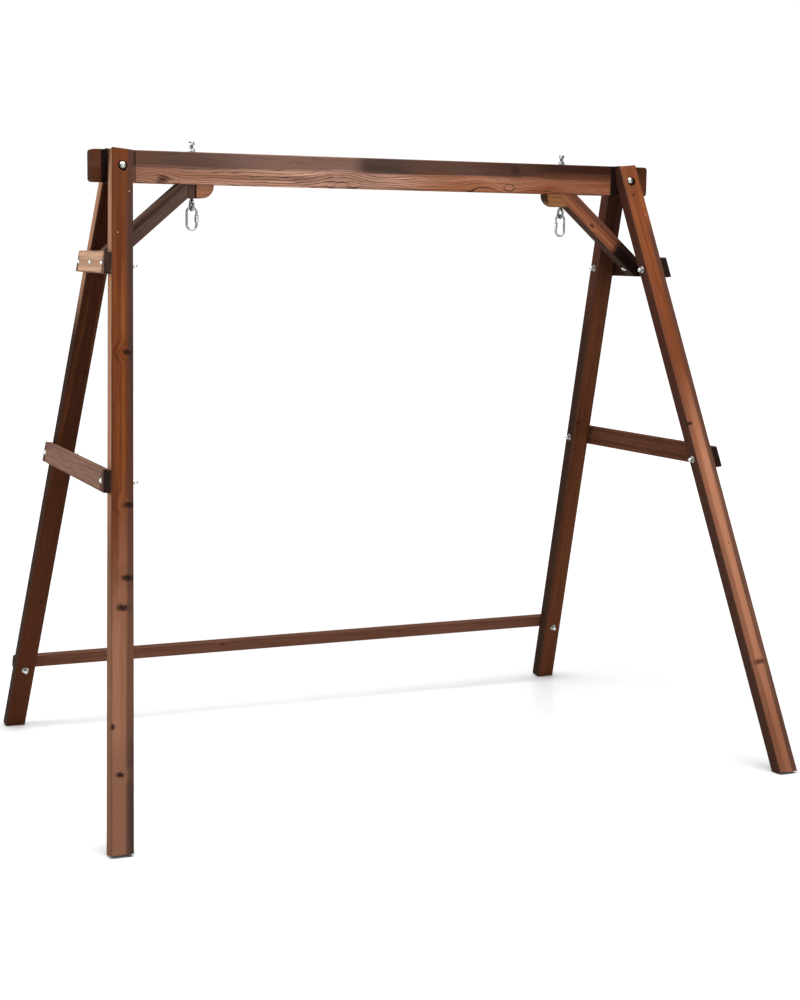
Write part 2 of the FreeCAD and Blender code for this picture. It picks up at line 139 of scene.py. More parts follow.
# %% Noise with a direction
def stretched_noise(tree, vector, per_metre, offset=(0, 0, 0), detail=2.0):
    """A noise with that many patches per metre along each axis."""
    placed = add_node(tree, "ShaderNodeVectorMath", {0: vector, 1: per_metre, 2: offset},
                      operation="MULTIPLY_ADD").outputs[0]
    inputs = {"Vector": placed, "Scale": 1.0, "Detail": detail}
    return add_node(tree, "ShaderNodeTexNoise", inputs).outputs


def seed_vector(tree, seed):
    """The same number along all three axes, to move a noise elsewhere."""
    return add_node(tree, "ShaderNodeCombineXYZ", {0: seed, 1: seed, 2: seed}).outputs[0]


print("helpers: stretched_noise, seed_vector")

# %% [markdown]
# A finish that several boards share is a group with named sockets. Each board
# then fills in its own numbers, and the group is drawn only once.

# %% Node groups
def new_group(name, inputs, outputs):
    """An empty node group with named sockets: returns it, its inputs and its outputs."""
    group = bpy.data.node_groups.new(name, "ShaderNodeTree")
    for label, value in inputs.items():
        kind = {float: "Float", tuple: "Vector"}.get(type(value), "Color")
        socket = group.interface.new_socket(label, in_out="INPUT", socket_type="NodeSocket" + kind)
        socket.default_value = value
    for label, kind in outputs.items():
        group.interface.new_socket(label, in_out="OUTPUT", socket_type="NodeSocket" + kind)
    return group, group.nodes.new("NodeGroupInput").outputs, group.nodes.new("NodeGroupOutput").inputs


def use_group(tree, group, inputs):
    """Places a group in a tree and gives its outputs."""
    made = tree.nodes.new("ShaderNodeGroup")
    made.node_tree = group
    fill(tree, made, inputs)
    return made.outputs


GREY = [0.5, 0.5, 0.5, 1.0]        # a list marks a colour socket; a tuple marks a vector
ORIGIN = (0.0, 0.0, 0.0)
print("helpers: new_group, use_group")

# %% [markdown]
# Softwood grows in rings round a pith. A sawn board is a box cut out of that
# log, so its pattern is found from the distance to the pith line: straight
# lines where the pith is far away, long arches where the saw grazed a ring.
# The rings are worked out in the board's own coordinates: X runs down the
# grain, Y across the face and Z out of the front face. A slow noise bends the
# pith line, because no trunk is straight.

# %% Growth rings
RING_START, RING_DARKEST, RING_STOP = 0.66, 0.93, 0.95      # shares of one year's ring
rings_group, given, result = new_group(
    "growth_rings",
    {"Vector": ORIGIN, "Pith Across": 0.0, "Pith Depth": -0.08, "Ring Width": 0.005, "Wander": 0.02,
     "Ripple": 0.0024, "Seed": 0.0},
    {"Late": "Float"})
tree = rings_group
offset = seed_vector(tree, given["Seed"])
bend = stretched_noise(tree, given["Vector"], (3.4, 9.0, 9.0), offset, 3.0)["Color"]
bend = add_node(tree, "ShaderNodeSeparateXYZ", {0: bend}).outputs
board = add_node(tree, "ShaderNodeSeparateXYZ", {0: given["Vector"]}).outputs
squares = []
for axis, pith in ((1, "Pith Across"), (2, "Pith Depth")):
    drift = sums(tree, "MULTIPLY", sums(tree, "SUBTRACT", bend[axis - 1], 0.5), given["Wander"])
    leg = sums(tree, "ADD", sums(tree, "SUBTRACT", board[axis], given[pith]), drift)
    squares.append(sums(tree, "MULTIPLY", leg, leg))
radius = sums(tree, "SQRT", sums(tree, "ADD", *squares))
ripple = stretched_noise(tree, given["Vector"], (14.0, 70.0, 70.0), offset)["Fac"]
radius = sums(tree, "ADD", radius, sums(tree, "MULTIPLY", ripple, given["Ripple"]))
ring = sums(tree, "FRACT", sums(tree, "DIVIDE", radius, given["Ring Width"]))
darkening = ramp(tree, ring, RING_START, RING_DARKEST)
late = sums(tree, "MULTIPLY", darkening, ramp(tree, ring, RING_STOP, 1.0, 1.0, 0.0))
tree.links.new(late, result["Late"])
print("made", rings_group.name)

# %% [markdown]
# Between the rings a board shows fine fibre, streaks as wide as a finger, and
# slow clouds where the stain soaked in. All three run down the grain. The
# brushed face stands proud along the late wood and the fibre.

# %% Fibre, streaks and clouds
PATCHES = {"Fibre": (9.0, 520.0, 520.0), "Streak": (1.5, 75.0, 75.0), "Cloud": (2.1, 26.0, 26.0)}
LATE_RELIEF, FIBRE_RELIEF = 0.6, 0.5
fibre_group, given, result = new_group(
    "wood_fibre", {"Vector": ORIGIN, "Late": 0.0, "Seed": 0.0},
    {"Fibre": "Float", "Streak": "Float", "Cloud": "Float", "Height": "Float"})
tree = fibre_group
offset = seed_vector(tree, given["Seed"])
noises = {name: stretched_noise(tree, given["Vector"], per_metre, offset, 3.0)["Fac"]
          for name, per_metre in PATCHES.items()}
for name, noise in noises.items():
    tree.links.new(noise, result[name])
ridges = sums(tree, "MULTIPLY", given["Late"], LATE_RELIEF)
height = sums(tree, "ADD", ridges, sums(tree, "MULTIPLY", noises["Fibre"], FIBRE_RELIEF))
tree.links.new(height, result["Height"])
print("made", fibre_group.name, "with", len(noises), "noises")

# %% [markdown]
# A knot is the stub of a branch. The rings part round it, and the torch that
# chars the board blackens its core or just its outline. This group squeezes
# the coordinates near the knot's middle, so that any rings drawn later flow
# round it. Shape stretches the knot: a number above one makes it shorter.

# %% Knots
SQUEEZE = 0.72                      # how far the rings are pulled in at the knot
WOBBLE = 0.9                        # how uneven its outline is, in knot sizes
knot_group, given, result = new_group(
    "branch_knot",
    {"Vector": ORIGIN, "Centre": ORIGIN, "Size": 0.008, "Shape": (0.55, 1.0, 0.45), "Core": 1.0,
     "Outline": 0.5, "Dark": 0.0},
    {"Vector": "Vector", "Dark": "Float"})
tree = knot_group
away = vectors(tree, "SUBTRACT", given["Vector"], given["Centre"])
wobble = stretched_noise(tree, given["Vector"], (90.0, 130.0, 130.0))["Fac"]
shaped = vectors(tree, "MULTIPLY", away, given["Shape"])
reach = sums(tree, "DIVIDE", span(tree, "LENGTH", shaped), given["Size"])
reach = sums(tree, "ADD", reach, sums(tree, "MULTIPLY", sums(tree, "SUBTRACT", wobble, 0.5), WOBBLE))
halo = ramp(tree, reach, 0.6, 4.2, 1.0, 0.0)
core = sums(tree, "MULTIPLY", ramp(tree, reach, 0.35, 1.15, 1.0, 0.0), given["Core"])
rim = ramp(tree, sums(tree, "ABSOLUTE", sums(tree, "SUBTRACT", reach, 1.0)), 0.05, 0.30, 1.0, 0.0)
pull = vectors(tree, "MULTIPLY", away, (0.0, 1.0, 1.0))
pull = add_node(tree, "ShaderNodeVectorMath", {0: pull, "Scale": sums(tree, "MULTIPLY", halo, -SQUEEZE)},
                operation="SCALE").outputs[0]
tree.links.new(vectors(tree, "ADD", given["Vector"], pull), result["Vector"])
blackened = sums(tree, "MAXIMUM", core, sums(tree, "MULTIPLY", rim, given["Outline"]))
tree.links.new(sums(tree, "MAXIMUM", given["Dark"], blackened), result["Dark"])
print("made", knot_group.name)

# %% [markdown]
# The stain is warm in the pale early wood and dark in the late wood. Streaks
# swing it towards amber or towards the dark tone, and the clouds and fibre
# deepen it a little more.

# %% Stain in the wood
STREAK_DARK, CLOUD_DARK, FIBRE_DARK = 0.45, 0.35, 0.35      # how far each goes to the dark tone
tone_group, given, result = new_group(
    "stained_wood",
    {"Late": 0.0, "Fibre": 0.5, "Streak": 0.5, "Cloud": 0.5, "Pale": GREY, "Dark": GREY, "Amber": GREY,
     "Late Share": 0.7, "Amber Share": 0.0},
    {"Color": "Color"})
tree = tone_group
ringed = sums(tree, "MULTIPLY", given["Late"], given["Late Share"])
colour = blend_colour(tree, ringed, given["Pale"], given["Dark"])
golden = sums(tree, "MULTIPLY", ramp(tree, given["Streak"], 0.50, 0.64), given["Amber Share"])
colour = blend_colour(tree, golden, colour, given["Amber"])
colour = blend_colour(tree, ramp(tree, given["Streak"], 0.36, 0.50, STREAK_DARK, 0.0), colour, given["Dark"])
colour = blend_colour(tree, ramp(tree, given["Cloud"], 0.40, 0.72, 0.0, CLOUD_DARK), colour, given["Dark"])
colour = blend_colour(tree, ramp(tree, given["Fibre"], 0.35, 0.70, 0.0, FIBRE_DARK), colour, given["Dark"])
tree.links.new(colour, result["Color"])
print("made", tone_group.name)

# %% [markdown]
# The torch lingers on one part of a board, and the stain takes there in
# another colour. This group lays a colour over a stretch of the board. Start
# and End are where it fades in along the grain, and Lower and Upper limit it
# across the face, with a ragged border. Keep Rings lets the dark rings show
# through.

# %% Stretches of another colour
BORDER = 0.006
BORDER_DRIFT = 0.03                 # how far the streaks push the border about
stretch_group, given, result = new_group(
    "torched_stretch",
    {"Color": GREY, "Vector": ORIGIN, "Late": 0.0, "Cloud": 0.5, "Streak": 0.5, "Start": 0.0,
     "End": 1.0, "Lower": -1.0, "Upper": 1.0, "Stain": GREY, "Share": 0.7, "Keep Rings": 0.0},
    {"Color": "Color"})
tree = stretch_group
board = add_node(tree, "ShaderNodeSeparateXYZ", {0: given["Vector"]}).outputs
ragged = sums(tree, "MULTIPLY", sums(tree, "SUBTRACT", given["Streak"], 0.5), BORDER_DRIFT)
across = sums(tree, "ADD", board[1], ragged)
above = ramp(tree, sums(tree, "SUBTRACT", across, given["Lower"]), -BORDER, BORDER)
below = ramp(tree, sums(tree, "SUBTRACT", across, given["Upper"]), -BORDER, BORDER, 1.0, 0.0)
clouded = ramp(tree, given["Cloud"], 0.30, 0.66, 0.7, 1.1)
off_rings = sums(tree, "SUBTRACT", 1.0, sums(tree, "MULTIPLY", given["Late"], given["Keep Rings"]))
amount = ramp(tree, board[0], given["Start"], given["End"])
for share in (above, below, clouded, off_rings, given["Share"]):
    amount = sums(tree, "MULTIPLY", amount, share)
tree.links.new(blend_colour(tree, amount, given["Color"], given["Stain"]), result["Color"])
print("made", stretch_group.name)

# %% [markdown]
# A sawn side drinks the stain differently from the planed face beside it, and
# the end grain drinks most of all. The direction of the surface tells them
# apart. A side's tone is partly painted light and shade as well: pale where the
# left box lights a side, dark on the far frame's sides and on the struts'
# undersides. A side can change tone part of the way down the board.

# %% Sides and ends
TURN_LENGTH = 0.12                  # half the length over which a side changes tone
side_stain_and_light_group, given, result = new_group(
    "side_stain_and_light",
    {"Color": GREY, "Vector": ORIGIN, "Normal": ORIGIN, "Sideways": (0.0, 1.0, 0.0), "Late": 0.0,
     "Side": GREY, "Side Below": GREY, "Turn": 0.5},
    {"Color": "Color"})
tree = side_stain_and_light_group
along = add_node(tree, "ShaderNodeSeparateXYZ", {0: given["Vector"]}).outputs[0]
turned = ramp(tree, sums(tree, "SUBTRACT", along, given["Turn"]), -TURN_LENGTH, TURN_LENGTH)
side_colour = blend_colour(tree, turned, given["Side"], given["Side Below"])
facing = ramp(tree, span(tree, "DOT_PRODUCT", given["Normal"], given["Sideways"]), 0.60, 0.92)
amount = sums(tree, "MULTIPLY", facing, ramp(tree, given["Late"], 0.0, 1.0, 1.0, 0.55))
tree.links.new(blend_colour(tree, amount, given["Color"], side_colour), result["Color"])

end_group, given, result = new_group(
    "end_grain", {"Color": GREY, "Normal": ORIGIN, "Grain": (1.0, 0.0, 0.0), "Char And Shade": GREY, "Share": 0.8},
    {"Color": "Color"})
tree = end_group
facing = sums(tree, "ABSOLUTE", span(tree, "DOT_PRODUCT", given["Normal"], given["Grain"]))
amount = sums(tree, "MULTIPLY", ramp(tree, facing, 0.55, 0.90), given["Share"])
tree.links.new(blend_colour(tree, amount, given["Color"], given["Char And Shade"]), result["Color"])
print("made", side_stain_and_light_group.name, "and", end_group.name)

# %% [markdown]
# The flame bites deepest where two faces meet. This group measures how near a
# point is to the board's long edges and ends, and darkens it there.

# %% Charred edges
EDGE_DEPTH = 0.007
edge_group, given, result = new_group(
    "scorched_edges",
    {"Color": GREY, "Vector": ORIGIN, "Half Size": (1.0, 1.0, 1.0), "Char And Shade": GREY, "Share": 0.5},
    {"Color": "Color"})
tree = edge_group
room = vectors(tree, "SUBTRACT", given["Half Size"], vectors(tree, "ABSOLUTE", given["Vector"]))
room = add_node(tree, "ShaderNodeSeparateXYZ", {0: room}).outputs
ragged = stretched_noise(tree, given["Vector"], (12.0, 90.0, 90.0), (3, 1, 2))["Fac"]
bite = sums(tree, "MULTIPLY", sums(tree, "ADD", ragged, 0.45), EDGE_DEPTH)
near = [ramp(tree, sums(tree, "DIVIDE", room[axis], bite), 0.0, 1.0, 1.0, 0.0) for axis in range(3)]
long_edge = sums(tree, "MULTIPLY", near[1], near[2])
end_edge = sums(tree, "MULTIPLY", near[0], sums(tree, "MAXIMUM", near[1], near[2]))
amount = sums(tree, "MULTIPLY", sums(tree, "MAXIMUM", long_edge, end_edge), given["Share"])
tree.links.new(blend_colour(tree, amount, given["Color"], given["Char And Shade"]), result["Color"])
print("made", edge_group.name)

# %% [markdown]
# A planed face keeps a smoky band where the torch ran along it. Middle and
# Reach place the band across the face, and it drifts a little on its way.

# %% Smoky bands
BAND_DRIFT = 2.4                    # in widths of the soft border
band_group, given, result = new_group(
    "smoky_band",
    {"Color": GREY, "Vector": ORIGIN, "Middle": 0.0, "Reach": 0.02, "Softness": 0.01, "Smoke": GREY,
     "Share": 0.6, "Seed": 0.0},
    {"Color": "Color"})
tree = band_group
offset = seed_vector(tree, given["Seed"])
drift = stretched_noise(tree, given["Vector"], (2.4, 30.0, 30.0), offset, 3.0)["Fac"]
across = add_node(tree, "ShaderNodeSeparateXYZ", {0: given["Vector"]}).outputs[1]
off = sums(tree, "ABSOLUTE", sums(tree, "SUBTRACT", across, given["Middle"]))
off = sums(tree, "DIVIDE", sums(tree, "SUBTRACT", off, given["Reach"]), given["Softness"])
off = sums(tree, "ADD", off, sums(tree, "MULTIPLY", sums(tree, "SUBTRACT", drift, 0.5), BAND_DRIFT))
amount = sums(tree, "MULTIPLY", ramp(tree, off, -1.0, 1.0, 1.0, 0.0), given["Share"])
tree.links.new(blend_colour(tree, amount, given["Color"], given["Smoke"]), result["Color"])
print("made", band_group.name)

# %% [markdown]
# Beside each leg where it crosses the beam, a black stripe of painted shade
# stands for the shadow the leg casts on the beam; the same stripe paints the
# shade along the edges of a notch. Where a bolt sits in a counterbore, a dark
# disc of painted shade fills the gap round its head. Small pale spots are laid
# on some boards as well.

# %% Stripes and spots
STRIPE_FRAY, STRIPE_BORDER = 0.006, 0.0015
shade_stripe_group, given, result = new_group(
    "painted_shade_stripe",
    {"Color": GREY, "Vector": ORIGIN, "Fibre": 0.5, "Along": 0.0, "Half Width": 0.01, "Char And Shade": GREY},
    {"Color": "Color"})
tree = shade_stripe_group
along = add_node(tree, "ShaderNodeSeparateXYZ", {0: given["Vector"]}).outputs[0]
off = sums(tree, "ABSOLUTE", sums(tree, "SUBTRACT", along, given["Along"]))
fray = sums(tree, "MULTIPLY", sums(tree, "SUBTRACT", given["Fibre"], 0.5), STRIPE_FRAY)
off = sums(tree, "SUBTRACT", sums(tree, "ADD", off, fray), given["Half Width"])
amount = ramp(tree, off, -STRIPE_BORDER, STRIPE_BORDER, 0.98, 0.0)
tree.links.new(blend_colour(tree, amount, given["Color"], given["Char And Shade"]), result["Color"])

spot_group, given, result = new_group(
    "round_spot", {"Color": GREY, "Vector": ORIGIN, "Centre": ORIGIN, "Radius": 0.01, "Tint": GREY},
    {"Color": "Color"})
tree = spot_group
off = vectors(tree, "SUBTRACT", given["Vector"], given["Centre"])
off = span(tree, "LENGTH", vectors(tree, "MULTIPLY", off, (1.0, 1.0, 0.0)))
off = sums(tree, "SUBTRACT", off, given["Radius"])
amount = ramp(tree, off, -0.0005, 0.0015, 0.95, 0.0)
tree.links.new(blend_colour(tree, amount, given["Color"], given["Tint"]), result["Color"])
print("made", shade_stripe_group.name, "and", spot_group.name)

# %% [markdown]
# Charred fir: the board is scorched, brushed and stained, then left nearly
# matt, and its roughness follows the fibre. Each board has its own material, because
# each was cut from another place in the log. Its numbers are in the board's
# own coordinates.

# %% Charred fir
SMOKE = (0.042, 0.019, 0.013)
# black char; the same black also paints shade in the stripes and bolt recesses
CHAR_AND_SHADE = (0.008, 0.004, 0.003)
GLOSS = 0.03                        # a stained face hardly shines
ROUGHNESS = (0.62, 0.85)            # where the fibre is low, and where it is high
RELIEF = 0.0008
KNOT_CHAR = 0.9                     # how black a knot's darkest part is


def rgba(colour):
    """A colour with full cover."""
    return (*colour, 1.0)


def board_axes(grain, front):
    """The board's axes: along the grain, across the face, out of the front face."""
    grain = Vector(grain).normalized()
    front = Vector(front)
    front = (front - grain * front.dot(grain)).normalized()
    return Matrix((grain, front.cross(grain), front)).transposed()


def stretch(start, end, colour, share, lower=-1.0, upper=1.0, keep=0.0):
    """A torched stretch: fades in from start to end along the grain, between lower and upper."""
    return {"Start": start, "End": end, "Stain": rgba(colour), "Share": share, "Lower": lower,
            "Upper": upper, "Keep Rings": keep}


def knot(along, across, size, shape=(0.55, 1.0, 0.45), core=1.0, outline=0.5):
    """A knot centred a little under the front face."""
    return {"Centre": (along, across, 0.02), "Size": size, "Shape": shape, "Core": core, "Outline": outline}


def charred_fir(name, origin, grain, front, half, pale, dark, pith=(0.0, -0.08), ring_width=0.005,
                wander=0.02, ripple=0.0024, late_share=0.75, amber=SMOKE, amber_share=0.0, band=None,
                edge_share=0.55, end_share=0.8, side=None, stretches=(), shade_stripes=(), spots=(), knots=(),
                seed=0.0):
    """The finish of one board.

    A shade stripe is (along, half width), a stripe of painted shade, and a spot is (along,
    across, radius, colour). The side is (colour, colour further down the board, where it
    changes), a tone that is partly painted light and shade.
    """
    material = bpy.data.materials.new(name)
    material.use_nodes = True
    tree = material.node_tree
    shader = tree.nodes["Principled BSDF"]
    axes = board_axes(grain, front)
    coordinates = add_node(tree, "ShaderNodeTexCoord").outputs
    normal = coordinates["Normal"]
    mapping = {"Vector": coordinates["Object"], "Location": Vector(origin), "Rotation": axes.to_euler()}
    board = add_node(tree, "ShaderNodeMapping", mapping, vector_type="TEXTURE").outputs[0]
    flow, blackened = board, 0.0
    for each in knots:
        placed = use_group(tree, knot_group, {"Vector": flow, "Dark": blackened, **each})
        flow, blackened = placed["Vector"], placed["Dark"]
    growth = {"Pith Across": pith[0], "Pith Depth": pith[1], "Ring Width": ring_width,
              "Wander": wander, "Ripple": ripple, "Seed": seed}
    late = use_group(tree, rings_group, {"Vector": flow, **growth})["Late"]
    wood = use_group(tree, fibre_group, {"Vector": flow, "Late": late, "Seed": seed})
    figure = {"Late": late, "Fibre": wood["Fibre"], "Streak": wood["Streak"], "Cloud": wood["Cloud"]}
    stain = {"Pale": rgba(pale), "Dark": rgba(dark), "Amber": rgba(amber), "Late Share": late_share,
             "Amber Share": amber_share}
    colour = use_group(tree, tone_group, {**figure, **stain})["Color"]

    steps = []                      # each step lays one effect over the colour so far
    if band:
        steps.append((band_group, {"Vector": flow, "Seed": seed, **band}))
    for each in stretches:
        steps.append((stretch_group, {"Vector": board, "Late": late, "Cloud": wood["Cloud"],
                                      "Streak": wood["Streak"], **each}))
    # the side tone: partly the stain of a sawn side, partly painted light and shade
    if side:
        tones = {"Side": rgba(side[0]), "Side Below": rgba(side[1]), "Turn": side[2]}
        steps.append((side_stain_and_light_group, {"Vector": board, "Normal": normal, "Sideways": -axes.col[1],
                                   "Late": late, **tones}))
    steps.append((edge_group, {"Vector": board, "Half Size": Vector(half), "Char And Shade": rgba(SMOKE),
                               "Share": edge_share}))
    steps.append((end_group, {"Normal": normal, "Grain": axes.col[0], "Char And Shade": rgba(CHAR_AND_SHADE),
                              "Share": end_share}))
    # each stripe paints a band of shade
    for along, half_width in shade_stripes:
        steps.append((shade_stripe_group, {"Vector": board, "Fibre": wood["Fibre"], "Along": along,
                                     "Half Width": half_width, "Char And Shade": rgba(CHAR_AND_SHADE)}))
    for along, across, radius, tint in spots:
        steps.append((spot_group, {"Vector": board, "Centre": (along, across, 0), "Radius": radius,
                                   "Tint": rgba(tint)}))
    for group, inputs in steps:
        colour = use_group(tree, group, {"Color": colour, **inputs})["Color"]
    if knots:
        colour = blend_colour(tree, sums(tree, "MULTIPLY", blackened, KNOT_CHAR), colour, rgba(CHAR_AND_SHADE))
    tree.links.new(colour, shader.inputs["Base Color"])
    tree.links.new(ramp(tree, wood["Fibre"], 0.3, 0.7, *ROUGHNESS), shader.inputs["Roughness"])
    bump = add_node(tree, "ShaderNodeBump", {"Height": wood["Height"], "Strength": 0.5, "Distance": RELIEF})
    tree.links.new(bump.outputs[0], shader.inputs["Normal"])
    shader.inputs["Specular IOR Level"].default_value = GLOSS
    return material


def finish_node(node, material):
    """Gives a node of the frame its finish."""
    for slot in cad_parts[node].material_slots:
        slot.material = material
    print(node, "<-", material.name)


print("ready to finish", len(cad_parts), "nodes")

# %% [markdown]
# Where each board lies. The A-frames lean in at the top, toe in a little
# towards the back, and their legs are raked both ways from the centre line.
# A board's grain follows its length, so these angles place the grain.

# %% Board directions
TOP_BOLT = Vector((0.810, 0.0, 1.739))
LEAN = math.radians(5.82)
TOE = math.radians(2.1)
RAKE = math.radians(20.76)
LEG_OFFSET = 0.036          # centre line of a leg from the frame's own, at the bolt
frame_turn = Matrix.Rotation(TOE, 3, "Z") @ Matrix.Rotation(-LEAN, 3, "Y")


def in_frame(side, point):
    """A point of the A-frame's own plane; side is 1 on the right and -1 on the left."""
    placed = TOP_BOLT + frame_turn @ Vector(point)
    placed.x *= side
    return placed


def along_frame(side, direction):
    """A direction of the A-frame's own plane."""
    turned = frame_turn @ Vector(direction)
    turned.x *= side
    return turned


FRONT = (0, -1, 0)
SIDES = {"right": 1, "left": -1}
print("frame leans", round(math.degrees(LEAN), 1), "degrees")

# %% [markdown]
# The top beam is sawn near the heart of the tree: its lower half shows long
# arches round its knots, and its upper half was torched until it went a smoky
# brown. The stain is pinkish on the left and turns orange to the right. Beside
# each leg the beam carries a black stripe of painted shade, the leg's shadow.

# %% Top beam
low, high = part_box("top_beam")
beam_middle = (low + high) / 2
beam_half = (high - low) / 2
BEAM_SMOKE = {"Middle": 0.040, "Reach": 0.040, "Softness": 0.007, "Smoke": rgba((0.132, 0.073, 0.057)),
              "Share": 0.95}
# painted shade: a black stripe beside each leg, standing for the leg's shadow on the beam
LEG_SHADOW_STRIPES = [(-0.852, 0.011), (0.777, 0.019)]
UPPER = dict(lower=0.0)             # only the upper half
LOWER = dict(upper=0.0, keep=1.0)   # only the lower half, between its rings
beam_finish = charred_fir(
    "beam_charred_fir", beam_middle, (1, 0, 0), FRONT, beam_half, pale=(0.570, 0.310, 0.218),
    dark=(0.024, 0.009, 0.006), pith=(0.050, -0.045), ring_width=0.0050, wander=0.036, ripple=0.0055,
    late_share=1.0, band=BEAM_SMOKE, end_share=0.3, shade_stripes=LEG_SHADOW_STRIPES, seed=3.0,
    stretches=[
        stretch(-0.35, -0.60, (0.064, 0.034, 0.026), 0.90, **UPPER),
        stretch(-0.66, -0.74, (0.095, 0.045, 0.027), 0.80, **UPPER),
        stretch(-0.12, -0.06, (0.038, 0.023, 0.019), 0.90, **UPPER),
        stretch(0.02, 0.12, (0.078, 0.037, 0.026), 0.85, **UPPER),
        stretch(0.22, 0.44, (0.038, 0.016, 0.009), 0.88, **UPPER),
        stretch(0.45, 0.56, (0.022, 0.006, 0.003), 0.95, lower=0.014),
        stretch(0.45, 0.56, (0.080, 0.026, 0.010), 0.75, lower=-0.002, upper=0.016),
        stretch(-0.25, -0.70, (0.225, 0.102, 0.061), 0.85, **LOWER),
        stretch(-0.02, 0.22, (0.225, 0.084, 0.038), 0.90, **LOWER),
        stretch(0.32, 0.58, (0.138, 0.034, 0.009), 0.94, **LOWER),
        stretch(0.80, 0.86, (0.050, 0.017, 0.007), 0.88),
        stretch(-0.83, -0.86, (0.062, 0.018, 0.007), 0.85),
        stretch(-0.83, -0.86, (0.034, 0.009, 0.003), 0.60, **LOWER)],
    knots=[knot(-0.686, -0.033, 0.009, core=0.9, outline=0.7),
           knot(-0.145, -0.044, 0.016, core=0.1, outline=0.3),
           knot(0.300, -0.046, 0.014, core=0.0, outline=0.1),
           knot(0.424, 0.024, 0.012, shape=(0.95, 1.0, 0.45), core=0.45, outline=0.60),
           knot(0.405, -0.030, 0.011, shape=(0.65, 1.0, 0.45), core=0.0, outline=0.60),
           knot(0.550, -0.044, 0.014, core=0.0, outline=0.1)])
finish_node("top_beam", beam_finish)

# %% [markdown]
# The legs are planed from cleaner wood: red-brown at the top, with golden
# streaks. Lower down they are painted paler and pinker, painted light for the
# bright floor's glow on the lower legs. The right-hand third of each front face
# is darker, and a few smudged knots run across the grain. The top of the back
# right leg is darkened with painted shade from the front leg and the beam.

# %% Leg tones
LEG_HALF = (1.94, 0.0305, 0.0215)   # from the top bolt, so the first reaches down to the foot
SMUDGE = dict(shape=(1.7, 1.0, 0.45), outline=0.0)       # a knot that runs across the face
# a pale sawn side: partly its stain, partly painted light from the left box
LIT_SAWN_PALE = (0.250, 0.128, 0.074)
# a small pale spot on a leg's face
PALE_SPOT = (0.450, 0.330, 0.240)
# each leg's side tone is partly painted light and shade: pale where the left box lights it, dark on the far
# frame
LEG_LOOKS = {
    ("front", "left"): dict(
        pale=(0.132, 0.036, 0.0095), dark=(0.050, 0.013, 0.0042), seed=11.0,
        side=(LIT_SAWN_PALE, (0.130, 0.062, 0.030), 1.0),
        # painted light: the first two stretches pale the lower leg, for the bright floor's glow on it
        stretches=[stretch(0.80, 1.45, (0.235, 0.108, 0.066), 0.85),
                   stretch(1.55, 1.65, (0.150, 0.068, 0.042), 0.60),
                   stretch(1.35, 0.95, (0.062, 0.014, 0.0045), 0.72, upper=-0.010),
                   stretch(0.40, 0.05, (0.080, 0.022, 0.007), 0.55),
                   stretch(-1.0, -0.9, (0.034, 0.019, 0.016), 0.84, lower=0.012)],
        spots=[(0.081, 0.018, 0.001, PALE_SPOT), (0.205, -0.014, 0.001, PALE_SPOT)],
        knots=[knot(0.545, 0.012, 0.016, **SMUDGE), knot(0.965, 0.016, 0.018, **SMUDGE),
               knot(1.16, 0.012, 0.020, **SMUDGE), knot(1.24, 0.000, 0.020, **SMUDGE),
               knot(1.55, -0.026, 0.006, outline=0.0), knot(1.67, -0.007, 0.014, **SMUDGE)]),
    ("front", "right"): dict(
        pale=(0.190, 0.050, 0.0155), dark=(0.078, 0.022, 0.009), seed=23.0,
        side=((0.034, 0.012, 0.008), (0.026, 0.011, 0.007), 0.8),
        # painted light: the first two stretches pale the lower leg, for the bright floor's glow on it
        stretches=[stretch(0.55, 0.95, (0.325, 0.140, 0.080), 0.90),
                   stretch(1.50, 1.75, (0.190, 0.072, 0.036), 0.80),
                   stretch(0.10, 0.20, (0.052, 0.024, 0.017), 0.80, lower=0.012),
                   stretch(0.10, 0.03, (0.095, 0.030, 0.012), 0.50),
                   stretch(-1.0, -0.9, (0.098, 0.034, 0.018), 0.55, upper=-0.012)],
        spots=[(0.120, 0.020, 0.001, PALE_SPOT)],
        knots=[knot(0.053, -0.007, 0.003, outline=0.0), knot(0.790, -0.022, 0.012, **SMUDGE),
               knot(1.17, 0.004, 0.004, **SMUDGE),
               knot(1.535, -0.002, 0.024, shape=(2.4, 1.0, 0.45), core=0.8, outline=0.0)]),
    ("back", "left"): dict(
        pale=(0.042, 0.0115, 0.0045), dark=(0.020, 0.006, 0.0028), seed=31.0,
        side=(LIT_SAWN_PALE, (0.018, 0.009, 0.005), 0.42),
        # painted light: this stretch pales the lower leg, for the bright floor's glow on it
        stretches=[stretch(0.5, 1.6, (0.066, 0.020, 0.0085), 0.7)],
        knots=[knot(0.62, 0.004, 0.007, **SMUDGE), knot(1.40, 0.010, 0.008, **SMUDGE)]),
    ("back", "right"): dict(
        pale=(0.096, 0.030, 0.012), dark=(0.040, 0.013, 0.006), seed=43.0,
        side=((0.052, 0.019, 0.012), (0.022, 0.011, 0.007), 0.45),
        # painted shade: the top of the leg, in the shadow of the front leg and the beam
        stretches=[stretch(0.50, 0.20, (0.018, 0.008, 0.006), 0.80)],
        knots=[knot(0.835, -0.020, 0.009, **SMUDGE), knot(0.935, -0.018, 0.006, **SMUDGE),
               knot(1.05, 0.006, 0.006, **SMUDGE)]),
}
AMBER = {"front": (0.215, 0.068, 0.016), "back": (0.120, 0.040, 0.012)}
print("leg tones:", len(LEG_LOOKS))

